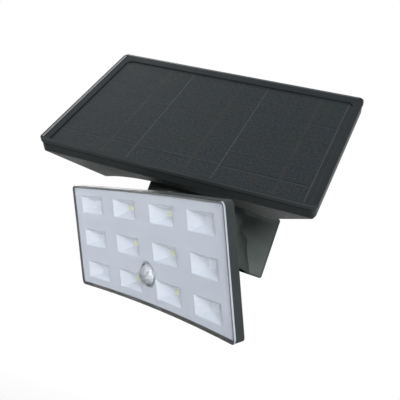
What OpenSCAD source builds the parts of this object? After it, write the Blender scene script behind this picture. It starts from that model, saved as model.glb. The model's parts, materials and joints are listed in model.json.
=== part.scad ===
// Solar flood light for a wall: a tilting solar box above a bell-shaped
// bracket, with an LED head on a ball joint in front.
// Millimetres. +Z is up, the wall is the plane Y = 0 and the front faces -Y.
// The origin is midway between the two wall screws, on the plate's back face.

/* [Wall plate] */
// Width of the wall plate
plate_w = 115.6; // [108:0.2:140]
// Thickness of the wall plate
plate_t = 5; // [4:0.5:8]
// Height of the plate's top edge above the screws
plate_top = 9.6; // [6.5:0.1:20]
// Depth of the plate's bottom edge below the screws
plate_drop = 43.1; // [40:0.1:55]
// Thickness left at the plate's edges, in front of the wall
plate_edge_t = 2.4; // [1.5:0.1:3.5]
// Width of the bevel along the plate's edges
plate_bevel = 5.5; // [2:0.5:8]
// Corner radius of the wall plate
plate_corner_r = 2; // [1:0.5:6]
// Distance between the two wall screws
screw_spacing = 40; // [34:1:80]
// Radius of the wall screw holes
screw_hole_r = 2.4; // [1.8:0.1:3]

/* [Bell and arm] */
// Outer radius of the bell
bell_r = 38; // [34:0.5:42]
// Distance from the wall to the bell's vertical axis
bell_out = 68.2; // [60:0.2:80]
// Depth of the bell's top below the wall screws
bell_drop = 2.5; // [1:0.5:6]
// Radius of the rounding at the bell's shoulder
bell_shoulder_r = 4; // [3:0.5:9]
// Wall thickness of the bell and arm
bracket_wall = 3; // [2:0.25:4]
// Thickness of the bell's roof
bell_roof = 3.5; // [2.5:0.25:5]
// Depth of the arm's top below the wall screws
arm_drop = 12; // [10:0.5:16]
// Half width of the arm at its upper corner
arm_half_w = 38; // [33:0.5:42]
// Radius of the arm's upper corners
arm_corner_r = 9; // [4:0.5:12]
// Half width of the arm at its foot on the wall plate
arm_foot_half_w = 48.3; // [44:0.1:52]
// Height of the flare at the arm's foot
arm_flare_h = 15; // [8:0.5:20]

/* [Turret and tilt bolt] */
// Turn of the turret about the vertical, away from square to the wall
turret_yaw = -7.07; // [-20:0.01:20]
// Radius of the turret's disc
turret_r = 18; // [16:0.5:20]
// Thickness of the turret's disc
turret_t = 4.7; // [3.5:0.1:6]
// Radius of the turret's stem in the bell's roof
turret_stem_r = 7; // [5:0.5:9]
// Height of the tilt bolt above the bell's top
pin_rise = 18.5; // [17.5:0.1:24]
// Radius of the tilt bolt
tilt_bolt_r = 3; // [2.5:0.1:3.5]
// Distance between the turret's two ears
ear_gap = 18; // [17.5:0.5:24]
// Thickness of each ear
ear_t = 4; // [3:0.25:4.5]
// Radius of the ears' round tops
ear_r = 9; // [8:0.25:10]

/* [Panel knuckle] */
// Tilt of the panel about the tilt bolt, from flat
panel_tilt = 55.26; // [40:0.01:58]
// Turn of the panel on the knuckle's stem
panel_turn = 2.11; // [-8:0.01:8]
// Radius of the knuckle's barrel round the tilt bolt
knuckle_r = 8; // [6.5:0.25:9]
// Radius of the knuckle's neck
knuckle_neck_r = 7; // [5:0.25:8]
// Radius of the knuckle's flange
flange_r = 16; // [12:0.5:18]
// Thickness of the knuckle's flange
flange_t = 2.5; // [2:0.1:4]
// Radius of the knuckle's stem in the panel tray
stem_r = 6; // [4.5:0.25:7]
// Distance from the tilt bolt to the panel's top face
pin_to_top = 50; // [48:0.1:56]

/* [Panel box] */
// Width of the panel
panel_w = 200; // [194:0.5:214]
// Depth of the panel
panel_d = 127.3; // [122:0.1:136]
// Corner radius of the panel
panel_corner_r = 5; // [3:0.5:8]
// Height of the bezel's rim
bezel_h = 3.3; // [3:0.1:5]
// Radius of the rounding along the bezel's top edge
bezel_edge_r = 0.8; // [0.5:0.1:2.4]
// Width of the rim at the left of the solar panel
rim_left = 7.4; // [4:0.1:9]
// Width of the rim at the right of the solar panel
rim_right = 6.2; // [4:0.1:9]
// Width of the rim behind the solar panel
rim_back = 8; // [4:0.1:9]
// Width of the rim in front of the solar panel
rim_front = 2.2; // [2:0.1:8]
// Distance from the bezel's outer edge to the crest of its rim
rim_crest = 2.6; // [2:0.1:3.5]
// Fall of the rim from its crest to the solar panel's recess
rim_fall = 0.9; // [0.3:0.1:0.9]
// Thickness of the plate under the solar panel
bezel_floor_t = 2; // [1.5:0.1:3]
// Overhang of the bezel outside the tray
bezel_overhang = 0.7; // [0.3:0.1:1.5]
// Thickness of the gasket between bezel and tray
gasket_t = 0.6; // [0.4:0.1:1.2]
// Depth from the panel's top to the foot of the tray's upright wall
tray_wall_foot = 10.3; // [8:0.1:14]
// Depth from the panel's top to the tray's base
tray_base = 39.5; // [37:0.1:42]
// Half width of the tray's base
base_half_w = 64; // [60:0.5:70]
// Half depth of the tray's base
base_half_d = 43.5; // [40:0.5:48]
// Half width of the arch across the tray's underside
arch_half_w = 62; // [58:0.5:63]
// Depth from the panel's top to the crown of the arch
arch_crown = 19.5; // [19:0.1:22]
// Wall thickness of the tray
tray_wall = 2.2; // [1.6:0.1:3]

/* [Solar panel] */
// Depth of the solar panel's face below the bezel's top
solar_recess = 1.8; // [1:0.1:2]
// Thickness of the solar panel
solar_t = 1.2; // [0.8:0.1:1.8]
// Thickness of the cells, set flush in the solar panel
cell_t = 0.3; // [0.2:0.05:0.5]
// Rows of cells
cell_rows = 7; // [5:1:9]
// Columns of cells
cell_columns = 3; // [2:1:4]
// Gap between rows of cells
cell_gap = 0.35; // [0.2:0.05:1]
// Width of the ribbon beside each column of cells
ribbon_w = 0.35; // [0.3:0.05:1]
// Clear border at the left and in front of the cells
cell_border = 0.2; // [0.2:0.1:3]
// Clear border at the right of the cells
cell_border_right = 2.6; // [0.6:0.1:4]
// Clear border behind the cells
cell_border_back = 2.1; // [0.6:0.1:4]
// Width cut off the first column of cells
first_column_cut = 1.4; // [0:0.1:4]

/* [Power parts] */
// Radius of a battery cell
battery_r = 9.2; // [8.5:0.1:9.4]
// Length of a battery cell
battery_len = 65; // [60:0.5:67]
// Distance from the tray's middle to each battery cell
battery_x = 50; // [48:0.5:54]
// Thickness of the battery holders
holder_t = 1.6; // [1.2:0.1:2.2]
// Width of the controller board
controller_w = 54; // [46:1:60]
// Depth of the controller board
controller_d = 28; // [22:1:32]
// Thickness of the circuit boards
board_t = 1.6; // [1:0.1:2]
// Radius of the mode button
button_r = 5; // [4:0.25:6]
// Travel of the mode button
button_travel = 1; // [0.5:0.1:1.2]

/* [Head ball joint] */
// Radius of the ball
ball_r = 9; // [8:0.1:10]
// Distance from the bell's axis to the ball
ball_out = 56.3; // [54:0.1:62]
// Depth of the ball below the wall screws
ball_drop = 31.7; // [29:0.1:34]
// Slope of the ball's neck below the horizontal
neck_slope = 20; // [10:1:25]
// Radius of the ball's neck
neck_r = 4; // [3:0.1:4.5]
// Distance from the ball's centre to the pad on the bell
pad_reach = 16.5; // [16:0.1:18]
// Radius of the pad on the bell
pad_r = 8.5; // [8:0.1:10]
// Turn of the head about the vertical
head_yaw = -42.6; // [-46:0.1:45]
// Lean of the head's face downwards
head_pitch = 29.9; // [10:0.1:45]
// Wall of the socket liner
liner_t = 1.5; // [1:0.1:2]
// How far the socket reaches past the middle of the ball
socket_grip = 2.8; // [2:0.1:3]
// Radius of the socket's boss and lock ring
socket_r = 15.2; // [14.8:0.1:17]

/* [Head] */
// Width of the head
head_w = 194; // [186:0.5:206]
// Height of the head
head_h = 77.2; // [72:0.1:84]
// Radius of the head's concave face
face_r = 982.5; // [700:0.5:2000]
// Corner radius of the head
head_corner_r = 3; // [1:0.5:6]
// Depth of the head's rim behind the face
rim_depth = 7.1; // [7:0.1:10]
// Depth of the head behind the middle of its face
head_depth = 15; // [14.5:0.1:18]
// Wall thickness of the head's shell
shell_wall = 2; // [1.5:0.1:2.5]
// Distance from the ball's centre forward to the face
ball_to_face = 21.7; // [21.5:0.1:26]
// Height of the ball above the middle of the head
ball_above_face = 20; // [16:0.5:22]
// Width of the land on the shell's rim that carries the clear cover
land_w = 1.6; // [1.2:0.1:2.2]
// Thickness of the clear cover
cover_t = 1.1; // [0.8:0.1:1.4]
// Gap behind the clear cover, to the reflector plate and to the land
cover_gap = 0.1; // [0.05:0.05:0.3]
// Thickness of the reflector plate
reflector_t = 1.2; // [0.8:0.1:1.6]
// Thickness of the gasket behind the reflector plate
cover_gasket_t = 0.6; // [0.4:0.1:1]
// Width of the gasket behind the reflector plate
cover_gasket_w = 1; // [0.8:0.1:1.4]
// Width of a reflector well's mouth
well_w = 29.6; // [22:0.1:30]
// Height of a reflector well's mouth
well_h = 12.6; // [9:0.1:14]
// Depth of a reflector well
well_depth = 6.5; // [4:0.1:6.8]
// Side of the opening in a well's floor
well_floor = 4.2; // [3.6:0.1:5]
// Distance from the head's middle to the inner columns of wells
well_x_inner = 24.5; // [24:0.1:28]
// Distance from the head's side to the middle of the outer columns of wells
well_from_side = 26.6; // [24:0.1:28]
// Distance between the rows of wells
well_pitch_z = 25; // [22:0.1:26]
// Side of an LED chip
led_size = 2.8; // [2:0.1:3.5]
// Thickness of an LED chip
led_t = 1; // [0.6:0.1:1.4]

/* [Motion sensor] */
// Radius of the sensor's domed lens
dome_r = 7.5; // [6.5:0.1:8]
// Wall thickness of the sensor's lens
dome_wall = 0.8; // [0.5:0.1:1.2]
// Depth of the sensor below the middle of the head
dome_drop = 16.7; // [12:0.1:18]
// Depth of the lens's centre behind the head's face
dome_centre = 2.6; // [2:0.1:2.7]
// Width of the trim ring round the lens
dome_ring_w = 1.4; // [0.6:0.1:1.6]
// Radius of the sensor's metal can
can_r = 4.1; // [3:0.1:4.6]

/* [Screws] */
// Radius of the small screws
small_screw_r = 1.5; // [1:0.1:1.8]
// Radius of a small screw's head
small_head_r = 2.8; // [2.2:0.1:3.2]
// Height of a small screw's head
small_head_h = 1.8; // [1.2:0.1:2.4]
// Radius of the screws in the turret and the knuckle
stem_screw_r = 2; // [1.5:0.1:2.5]

/* [Fits] */
// Radial clearance of a turning or sliding fit
run_fit = 0.05; // [0.02:0.01:0.1]
// Gap between faces that slide past each other
face_gap = 0.2; // [0.1:0.05:0.4]
// Gap round a piece laid in a pocket
pocket_gap = 0.2; // [0.1:0.05:0.5]

/* [Hidden] */
$fn = 96;
eps = 0.01;
far = 400;

// Heights and places of the bracket
plate_mid_z = (plate_top - plate_drop) / 2;
plate_h = plate_top + plate_drop;
bell_top = -bell_drop;
bell_ceiling = bell_top - bell_roof;
pin_z = bell_top + pin_rise;
bell_at = [0, -bell_out, 0];
ball_at = [0, -bell_out - ball_out, -ball_drop];

// Turret: disc, stem, washer and screw, from the top down
disc_bottom = bell_top + face_gap;
disc_top = disc_bottom + turret_t;
stem_bottom = bell_ceiling - face_gap;
turret_washer_t = 1;
turret_washer_r = turret_stem_r + 5;
stem_screw_head_r = stem_screw_r * 2;
stem_screw_head_h = 2.4;
stem_screw_len = 6;
screw_tip_gap = 0.5;
barrel_half = ear_gap / 2 - face_gap;
ear_out = ear_gap / 2 + ear_t;

// Tilt bolt, washers and nut
washer_r = 6.2;
washer_t = 1.2;
hex_r = 5.77;
bolt_head_h = 4;
nut_h = 5;

// Knuckle, measured from the tilt bolt along the panel's normal
seat_h = pin_to_top - arch_crown;
flange_top = seat_h - face_gap / 2;
stem_boss_h = 4;
stem_boss_r = stem_r + 7;
stem_top = seat_h + stem_boss_h + face_gap;
knuckle_washer_t = 1;
knuckle_washer_r = stem_r + 4.5;

// Panel, measured from its top face: tray outline and heights
tray_w = panel_w - 2 * bezel_overhang;
tray_d = panel_d - 2 * bezel_overhang;
tray_corner_r = panel_corner_r - bezel_overhang;
tray_top = -bezel_h - gasket_t;
floor_bottom = -bezel_h - bezel_floor_t;
arch_rise = tray_base - arch_crown;
arch_r = (arch_half_w * arch_half_w + arch_rise * arch_rise) / (2 * arch_rise);
arch_axis_z = -arch_crown - arch_r;
slope_run_x = tray_w / 2 - base_half_w;
slope_run_y = tray_d / 2 - base_half_d;
slope_h = tray_base - tray_wall_foot;
slope_inset_x = tray_wall * sqrt(slope_run_x * slope_run_x + slope_h * slope_h) / slope_h;
slope_inset_y = tray_wall * sqrt(slope_run_y * slope_run_y + slope_h * slope_h) / slope_h;

// Solar panel: pocket in the bezel, laminate, cells
pocket_x0 = -panel_w / 2 + rim_left;
pocket_x1 = panel_w / 2 - rim_right;
pocket_y0 = -panel_d / 2 + rim_front;
pocket_y1 = panel_d / 2 - rim_back;
pocket_chamfer = 3;
solar_x0 = pocket_x0 + pocket_gap;
solar_x1 = pocket_x1 - pocket_gap;
solar_y0 = pocket_y0 + pocket_gap;
solar_y1 = pocket_y1 - pocket_gap;
cells_x0 = solar_x0 + cell_border;
cells_x1 = solar_x1 - cell_border_right;
cells_y0 = solar_y0 + cell_border;
cells_y1 = solar_y1 - cell_border_back;
column_pitch = (cells_x1 - cells_x0 + first_column_cut) / cell_columns;
row_pitch = (cells_y1 - cells_y0) / cell_rows;

// Tray screws, in bosses near the four corners
tray_screw_x = base_half_w + 16;
tray_screw_y = base_half_d + 3.5;
tray_boss_r = small_head_r + 1.4;
tray_boss_top = -11.5;
tray_screw_len = 5.5;

// Battery cells and holders
battery_z = floor_bottom - 1 - battery_r;
holder_len = battery_len + 2 * pocket_gap + 2 * holder_t;
holder_half_w = battery_r + run_fit + holder_t;

// Controller board, behind the knuckle's stem
controller_y = knuckle_washer_r + 6 + controller_d / 2;
controller_z = -14.6;
board_post_r = 2.6;
board_post_depth = 4;
board_inset = 4;
board_screw_len = board_t + board_post_depth - screw_tip_gap;
small_pilot = small_screw_r + run_fit;
// Sides and heights of the controller's chip, coil, capacitor, plug and diode
chip_side = 7;
chip_h = 1.4;
coil_r = 4;
coil_h = 4.2;
capacitor_r = 2.5;
capacitor_h = 5.5;
plug_w = 8;
plug_d = 5;
plug_h = 4.6;
diode_w = 6;
diode_d = 4;
diode_h = 1.6;

// Mode button, square to the tray's right-hand slope
button_x = (tray_w / 2 + base_half_w) / 2;
button_z = -(tray_wall_foot + tray_base) / 2;
button_lean = 90 + atan2(slope_run_x, slope_h);
button_proud = 0.8;
button_flange_r = button_r + 1.4;
button_flange_t = 0.9;
button_flange_top = -tray_wall - face_gap;
button_foot = button_flange_top - button_flange_t;
seal_depth = 1;
plunger_r = 1.7;
plunger_len = 3.4;
switch_side = 6.4;
switch_top = button_foot - button_travel - 0.3;
switch_h = 3.7;
switch_board_z = switch_top - switch_h;
switch_board_half_y = 12;
switch_board_half_x = 5;
switch_post_y = 9;

// Ball stud: distances along the neck from the ball's centre
stud_flange_t = 2;
stud_flange_r = 7;
pad_len = 8.6;
stud_r = 3;
stud_len = 16;

// Head: depths behind the curved face
reflector_front = cover_t + cover_gap;
reflector_back = reflector_front + reflector_t;
shoulder = reflector_back + cover_gasket_t;
well_bottom = reflector_front + well_depth;
well_wall = 0.9;
// How far the wells' walls reach into the plate
well_root = 0.4;
insert_inset = land_w + pocket_gap / 2;
rim_wall = land_w + cover_gasket_w + pocket_gap;
well_x_outer = head_w / 2 - well_from_side;
ball_in_head = [0, ball_to_face, ball_above_face];
liner_r = ball_r + run_fit + liner_t;
socket_sphere_r = liner_r + run_fit;
cup_r = socket_sphere_r + 2.4;
cup_front = ball_to_face - socket_sphere_r - 1.8;
// Raised middle of the head's back: half sizes at its root and at its rear face
back_ledge_x = 12;
back_ledge_z = 1.2;
back_slope_x = 25;
back_root_w = head_w / 2 - back_ledge_x;
back_root_h = head_h / 2 - back_ledge_z;
back_root_y = 5;
back_face_w = back_root_w - back_slope_x;
back_face_h = well_pitch_z + led_size;
well_rows = [-1, 0, 1];
led_columns = [-well_x_inner, well_x_inner];
blind_columns = [-well_x_outer, well_x_outer];
well_columns = concat(led_columns, blind_columns);
led_board_w = 14;
led_board_margin = 1;
led_board_h = 2 * well_pitch_z + led_size + 2 * led_board_margin;
post_x = (well_x_inner + well_x_outer) / 2;
post_z = well_pitch_z - 3;
post_r = small_screw_r + 1.8;
post_depth = 6;
ring_screws = 3;
ring_screw_r = 1;
ring_head_r = 1.8;
ring_head_h = 1.2;
ring_screw_at = (socket_sphere_r + socket_r) / 2;
ring_screw_len = 5;

// Motion sensor: depths behind the face
ring_inner_r = dome_r + run_fit;
ring_outer_r = ring_inner_r + dome_ring_w;
ring_front = reflector_front + face_gap;
dome_flange_r = ring_outer_r + 1;
dome_flange_t = 0.9;
dome_foot = reflector_back + dome_flange_t;
can_gap = 0.4;
can_len = 4.4;
can_brim = 0.6;
can_front = dome_foot + can_gap;
sensor_board_y = can_front + can_len;
sensor_board_half_w = 11;
sensor_board_half_h = 8.8;
sensor_rest_x = sensor_board_half_w - 2;
sensor_rest_r = 1.5;

// ---- Places ----

// Points of a quarter circle, for polygons
function arc(cx, cy, r, from, to, steps = 8) =
    [for (i = [0:steps]) let (a = from + (to - from) * i / steps)
        [cx + r * cos(a), cy + r * sin(a)]];

module at_turret() translate([0, -bell_out, 0]) rotate([0, 0, turret_yaw]) children();

module at_pin() at_turret() translate([0, 0, pin_z]) children();

module at_knuckle() at_pin() rotate([panel_tilt, 0, 0]) children();

module at_panel() at_knuckle() rotate([0, 0, panel_turn]) translate([0, 0, pin_to_top]) children();

// Z runs out of the tray's right-hand slope, within the panel's own frame
module at_slope() translate([button_x, 0, button_z]) rotate([0, button_lean, 0]) children();

module at_button() at_panel() at_slope() children();

// Z runs from the ball's centre along the neck to the bell
module at_neck() translate(ball_at) rotate([-90 + neck_slope, 0, 0]) children();

// Y runs from the ball's centre out of the back of the socket
module at_ball() translate(ball_at) rotate([head_pitch, 0, head_yaw]) children();

// X right, Y into the head, Z up, from the middle of the face
module at_head() at_ball() translate([0, -ball_to_face, -ball_above_face]) children();

// ---- Shapes that repeat ----

module round_rect(w, h, r) {
    square([w - 2 * r, h], center = true);
    square([w, h - 2 * r], center = true);
    for (x = [-1, 1], y = [-1, 1])
        translate([x * (w / 2 - r), y * (h / 2 - r)]) circle(r);
}

// Cylinder along X, centred on it
module rod_x(r, len, sides = $fn) rotate([0, 90, 0]) cylinder(r = r, h = len, center = true, $fn = sides);

// Cylinder along +Y from y
module rod_y(r, y, len) translate([0, y, 0]) rotate([-90, 0, 0]) cylinder(r = r, h = len);

// Screw along +Z with its cross-slotted head below z = 0
module screw(r, len, head_r, head_h) {
    difference() {
        translate([0, 0, -head_h]) cylinder(r = head_r, h = head_h);
        for (a = [0, 90]) translate([0, 0, -head_h]) rotate([0, 0, a])
            cube([1.3 * head_r, 0.3 * head_r, head_h], center = true);
    }
    translate([0, 0, -head_h / 2]) cylinder(r = r, h = len + head_h / 2);
}

// Hexagon across the Z axis
module hexagon(r, h) cylinder(r = r, h = h, $fn = 6);

// ---- Bracket ----

module plate_solid() {
    intersection() {
        rotate([90, 0, 0]) linear_extrude(plate_t)
            translate([0, plate_mid_z]) round_rect(plate_w, plate_h, plate_corner_r);
        translate([0, 0, plate_mid_z]) linear_extrude(plate_h, center = true)
            bevelled_section(plate_w / 2);
        rotate([0, -90, 0]) linear_extrude(plate_w, center = true)
            translate([plate_mid_z, 0]) bevelled_section(plate_h / 2);
    }
}

// Section of the plate: full thickness inside the bevel, thin at the edge
module bevelled_section(half) {
    polygon([[-half, 0], [half, 0], [half, -plate_edge_t], [half - plate_bevel, -plate_t],
        [-half + plate_bevel, -plate_t], [-half, -plate_edge_t]]);
}

// Front view of the arm, inset by the wall where it is hollow
module arm_profile(inset) {
    half = arm_half_w - inset;
    top = -arm_drop - inset;
    r = arm_corner_r - inset / 2;
    waist_z = -plate_drop + arm_flare_h;
    waist = half + 3;
    foot = arm_foot_half_w - inset;
    right = concat(arc(half - r, top - r, r, 90, 0), [[waist, waist_z], [foot, -plate_drop - inset]]);
    left = [for (i = [len(right) - 1:-1:0]) [-right[i][0], right[i][1]]];
    polygon(concat(right, left));
}

module arm_block(inset, y_end) {
    intersection() {
        translate([0, y_end, 0]) rotate([90, 0, 0]) linear_extrude(bell_out + y_end) arm_profile(inset);
        translate([0, 0, -plate_drop - inset]) linear_extrude(plate_h)
            polygon([[-arm_foot_half_w + inset, y_end], [arm_foot_half_w - inset, y_end],
                [bell_r - inset, -bell_out], [-bell_r + inset, -bell_out]]);
    }
}

module bell_solid() {
    translate(bell_at) rotate_extrude() {
        translate([0, -plate_drop]) square([bell_r, plate_drop - bell_drop - bell_shoulder_r]);
        translate([0, -plate_drop]) square([bell_r - bell_shoulder_r, plate_drop - bell_drop]);
        translate([bell_r - bell_shoulder_r, bell_top - bell_shoulder_r]) circle(bell_shoulder_r);
    }
}

module wall_bracket() color([0.27, 0.30, 0.29]) {
    difference() {
        union() {
            plate_solid();
            arm_block(0, -plate_t + eps);
            bell_solid();
            at_neck() translate([0, 0, pad_reach]) cylinder(r = pad_r, h = pad_len);
        }
        difference() {
            union() {
                arm_block(bracket_wall, -plate_t);
                translate([0, -bell_out, -plate_drop - 1])
                    cylinder(r = bell_r - bracket_wall, h = 1 + plate_drop + bell_ceiling);
            }
            at_neck() cylinder(r = pad_r, h = pad_reach + pad_len);
        }
        at_neck() cylinder(r = stud_r + run_fit, h = far / 8);
        translate([0, -bell_out, bell_ceiling - 1])
            cylinder(r = turret_stem_r + run_fit, h = bell_roof + 2);
        for (x = [-1, 1])
            translate([x * screw_spacing / 2, -plate_t - 1, 0]) rod_y(screw_hole_r, 0, plate_t + 2);
    }
}

module head_ball_stud() color([0.45, 0.46, 0.46]) at_neck() {
    difference() {
        sphere(ball_r);
        translate([0, 0, -ball_r - far / 2 + 1.2]) cube([far, far, far], center = true);
    }
    cylinder(r = neck_r, h = pad_reach);
    translate([0, 0, pad_reach - stud_flange_t]) cylinder(r = stud_flange_r, h = stud_flange_t);
    cylinder(r = stud_r, h = pad_reach + stud_len);
}

module head_stud_nut() color([0.62, 0.62, 0.60]) at_neck() difference() {
    translate([0, 0, pad_reach + pad_len]) hexagon(hex_r, nut_h);
    cylinder(r = stud_r + run_fit, h = far / 8);
}

// ---- Turret ----

module turret_yoke() color([0.25, 0.28, 0.27]) at_turret() difference() {
    union() {
        translate([0, 0, disc_bottom]) cylinder(r = turret_r, h = turret_t);
        translate([0, 0, stem_bottom]) cylinder(r = turret_stem_r, h = disc_bottom - stem_bottom + eps);
        for (x = [-1, 1]) {
            translate([x * (ear_gap + ear_t) / 2, 0, pin_z]) rod_x(ear_r, ear_t);
            translate([x * (ear_gap + ear_t) / 2, 0, (disc_top + pin_z) / 2 - eps])
                cube([ear_t, 2 * ear_r, pin_z - disc_top + 2 * eps], center = true);
        }
    }
    translate([0, 0, pin_z]) rod_x(tilt_bolt_r + run_fit, 2 * ear_out + 2);
    translate([0, 0, stem_bottom - 1]) cylinder(r = stem_screw_r + run_fit, h = stem_screw_len + 2);
}

module turret_washer() color([0.62, 0.62, 0.60]) at_turret() difference() {
    translate([0, 0, stem_bottom - turret_washer_t]) cylinder(r = turret_washer_r, h = turret_washer_t);
    translate([0, 0, stem_bottom - 2]) cylinder(r = stem_screw_r + run_fit, h = 3);
}

module turret_screw() color([0.62, 0.62, 0.60]) at_turret() {
    translate([0, 0, stem_bottom - turret_washer_t])
        screw(stem_screw_r, stem_screw_len, stem_screw_head_r, stem_screw_head_h);
}

module tilt_bolt() color([0.62, 0.62, 0.60]) at_pin() {
    head_side = -ear_out - washer_t;
    shank = 2 * ear_out + 2 * washer_t + nut_h + 1;
    translate([head_side - 1, 0, 0]) rotate([0, 90, 0]) cylinder(r = tilt_bolt_r, h = shank + 1);
    translate([head_side - bolt_head_h, 0, 0]) rotate([0, 90, 0]) hexagon(hex_r, bolt_head_h);
}

module tilt_washers() color([0.66, 0.66, 0.64]) at_pin() difference() {
    for (x = [-1, 1]) translate([x * (ear_out + washer_t / 2), 0, 0]) rod_x(washer_r, washer_t);
    rod_x(tilt_bolt_r + run_fit, far / 4);
}

module tilt_nut() color([0.62, 0.62, 0.60]) at_pin() difference() {
    translate([ear_out + washer_t, 0, 0]) rotate([0, 90, 0]) hexagon(hex_r, nut_h);
    rod_x(tilt_bolt_r + run_fit, far / 4);
}

// ---- Panel knuckle ----

module panel_knuckle() color([0.25, 0.28, 0.27]) at_knuckle() difference() {
    union() {
        rod_x(knuckle_r, 2 * barrel_half);
        cylinder(r = knuckle_neck_r, h = flange_top);
        translate([0, 0, flange_top - flange_t]) cylinder(r = flange_r, h = flange_t);
        cylinder(r = stem_r, h = stem_top);
    }
    rod_x(tilt_bolt_r + run_fit, 2 * ear_gap);
    translate([0, 0, stem_top - stem_screw_len]) cylinder(r = stem_screw_r + run_fit, h = far / 4);
}

module knuckle_washer() color([0.62, 0.62, 0.60]) at_knuckle() difference() {
    translate([0, 0, stem_top]) cylinder(r = knuckle_washer_r, h = knuckle_washer_t);
    translate([0, 0, stem_top - 1]) cylinder(r = stem_screw_r + run_fit, h = 3);
}

module knuckle_screw() color([0.62, 0.62, 0.60]) at_knuckle() {
    translate([0, 0, stem_top + knuckle_washer_t]) rotate([180, 0, 0])
        screw(stem_screw_r, stem_screw_len - screw_tip_gap, stem_screw_head_r, stem_screw_head_h);
}

// ---- Panel box ----

// Half of the tray's section across one direction, with its walls set in
function tray_side(half, run, wall, inset) =
    let (x = half - wall, drop = slope_h, foot = half - inset - run)
    [[x, tray_top + 1], [x, -tray_wall_foot + (inset - wall) * drop / run],
        [foot - run * far / drop / 8, -tray_base - far / 8]];

module tray_section(half, run, wall, inset) {
    right = tray_side(half, run, wall, inset);
    left = [for (i = [2:-1:0]) [-right[i][0], right[i][1]]];
    polygon(concat(right, left));
}

// Box with sloping lower sides; set in by the wall thickness for the hollow
module tray_form(wall, inset_x, inset_y) {
    intersection() {
        rotate([90, 0, 0]) linear_extrude(tray_d, center = true)
            tray_section(tray_w / 2, slope_run_x, wall, inset_x);
        rotate([90, 0, 90]) linear_extrude(tray_w, center = true)
            tray_section(tray_d / 2, slope_run_y, wall, inset_y);
        translate([0, 0, -tray_base + wall]) linear_extrude(tray_base - wall + tray_top)
            round_rect(tray_w - 2 * wall, tray_d - 2 * wall, max(tray_corner_r - wall, 0.6));
    }
}

module arch(r) translate([0, 0, arch_axis_z]) rotate([90, 0, 0])
    cylinder(r = r, h = far, center = true, $fn = 180);

module at_tray_screws() {
    for (x = [-1, 1], y = [-1, 1]) translate([x * tray_screw_x, y * tray_screw_y, 0]) children();
}

module at_board_posts() {
    half_w = controller_w / 2 - board_inset;
    half_d = controller_d / 2 - board_inset;
    for (x = [-1, 1], y = [-1, 1]) translate([x * half_w, controller_y + y * half_d, 0]) children();
}

module panel_tray() color([0.22, 0.25, 0.24]) at_panel() {
    difference() {
        union() {
            difference() {
                tray_form(0, 0, 0);
                difference() {
                    tray_form(tray_wall, slope_inset_x, slope_inset_y);
                    arch(arch_r + tray_wall);
                    translate([0, 0, -arch_crown - 5]) cylinder(r = stem_boss_r, h = 5 + stem_boss_h);
                }
                translate([0, 0, tray_top]) linear_extrude(far) square(far, center = true);
            }
            intersection() {
                tray_form(0, 0, 0);
                union() {
                    at_tray_screws() translate([0, 0, -tray_base])
                        cylinder(r = tray_boss_r, h = tray_base + tray_boss_top);
                    at_board_posts() translate([0, 0, -tray_base])
                        cylinder(r = board_post_r, h = tray_base + controller_z);
                }
            }
            at_slope() for (y = [-1, 1]) translate([0, y * switch_post_y, switch_board_z])
                cylinder(r = board_post_r, h = -switch_board_z - tray_wall + eps);
        }
        arch(arch_r);
        cylinder(r = stem_r + run_fit, h = far, center = true);
        translate([0, 0, -arch_crown - far / 8]) cylinder(r = flange_r + face_gap, h = far / 8);
        at_tray_screws() {
            translate([0, 0, -far / 2]) cylinder(r = small_pilot, h = far);
            translate([0, 0, -tray_base]) cylinder(r = small_head_r + pocket_gap,
                h = tray_base + tray_boss_top - tray_wall);
        }
        at_board_posts() translate([0, 0, controller_z - board_post_depth])
            cylinder(r = small_pilot, h = board_post_depth + 1);
        at_slope() {
            cylinder(r = button_r + run_fit, h = 3 * tray_wall, center = true);
            translate([0, 0, -tray_wall - 1]) cylinder(r = button_flange_r + pocket_gap, h = 1 + seal_depth);
            for (y = [-1, 1]) translate([0, y * switch_post_y, switch_board_z - 1])
                cylinder(r = small_pilot, h = board_post_depth + 1);
        }
    }
}

// Outline of the recess for the solar panel, with its corners cut off
module pocket_outline(gap) {
    x0 = pocket_x0 + gap;
    x1 = pocket_x1 - gap;
    y0 = pocket_y0 + gap;
    y1 = pocket_y1 - gap;
    c = pocket_chamfer;
    polygon([[x0, y0], [x1, y0], [x1, y1 - c], [x1 - c, y1], [x0 + c, y1], [x0, y1 - c]]);
}

// Section of the rim across one direction, rounded along its top
module rim_section(half) {
    r = bezel_edge_r;
    translate([-half, -bezel_h]) square([2 * half, bezel_h - r]);
    translate([-half + r, -r - eps]) square([2 * (half - r), r + eps]);
    for (x = [-1, 1]) translate([x * (half - r), -r]) circle(r);
}

// Space over the rim's inner slopes, at the left, the right and the back
module rim_slopes() intersection() {
    rotate([90, 0, 0]) linear_extrude(far, center = true)
        polygon([[pocket_x0, -rim_fall], [pocket_x1, -rim_fall], [panel_w / 2 - rim_crest, 0],
            [panel_w / 2 - rim_crest, 1], [-panel_w / 2 + rim_crest, 1], [-panel_w / 2 + rim_crest, 0]]);
    rotate([90, 0, 90]) linear_extrude(far, center = true)
        polygon([[pocket_y0, -rim_fall], [pocket_y1, -rim_fall], [panel_d / 2 - rim_crest, 0],
            [panel_d / 2 - rim_crest, 1], [pocket_y0, 1]]);
}

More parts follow.
